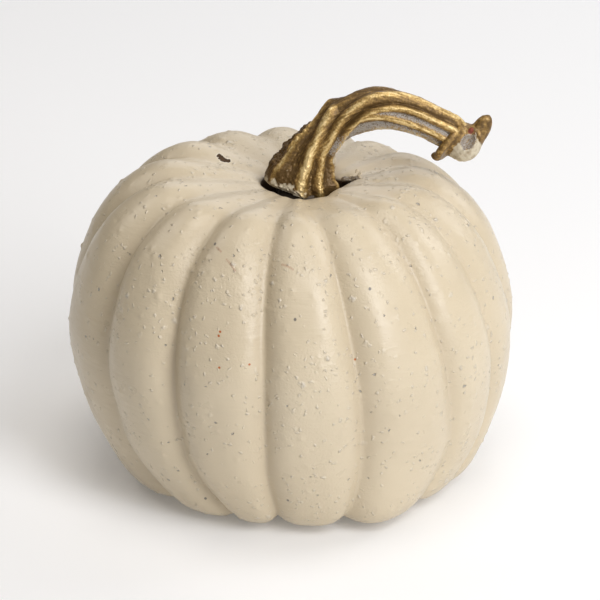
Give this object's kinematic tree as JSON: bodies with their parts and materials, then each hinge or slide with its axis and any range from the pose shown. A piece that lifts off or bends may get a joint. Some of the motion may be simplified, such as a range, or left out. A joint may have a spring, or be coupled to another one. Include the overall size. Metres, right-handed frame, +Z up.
{
  "type": "ceramic pumpkin figure",
  "caption": "Ribbed hollow ceramic pumpkin with a bent, gilded, ridged stem set in its crown opening; a free-standing seasonal table decoration resting on felt pads.",
  "frame": {"origin": "on the standing surface, under the middle of the ribbed body", "axes": "+Z up, +X towards the side that the stem bends to, -Y towards the front"},
  "size_m": [0.1988, 0.2003, 0.1784],
  "materials": {
    "cream_ceramic": "hand-painted satin cream over a fine pimply texture",
    "gilded_stem": "cast resin, dry-brushed gold over bronze and pale primer",
    "dowel_wood": "raw beech",
    "plug_plaster": "hardened plaster, stained dark",
    "bed_putty": "hardened two-part putty, rough",
    "pad_felt": "self-adhesive pressed felt"
  },
  "bodies": {
    "root": {"body_shell": "cream_ceramic", "stem": "gilded_stem", "stem_dowel": "dowel_wood", "neck_plug": "plug_plaster", "stem_bed": "bed_putty", "felt_pad_1": "pad_felt", "felt_pad_2": "pad_felt", "felt_pad_3": "pad_felt", "felt_pad_4": "pad_felt"}
  },
  "joints": []
}
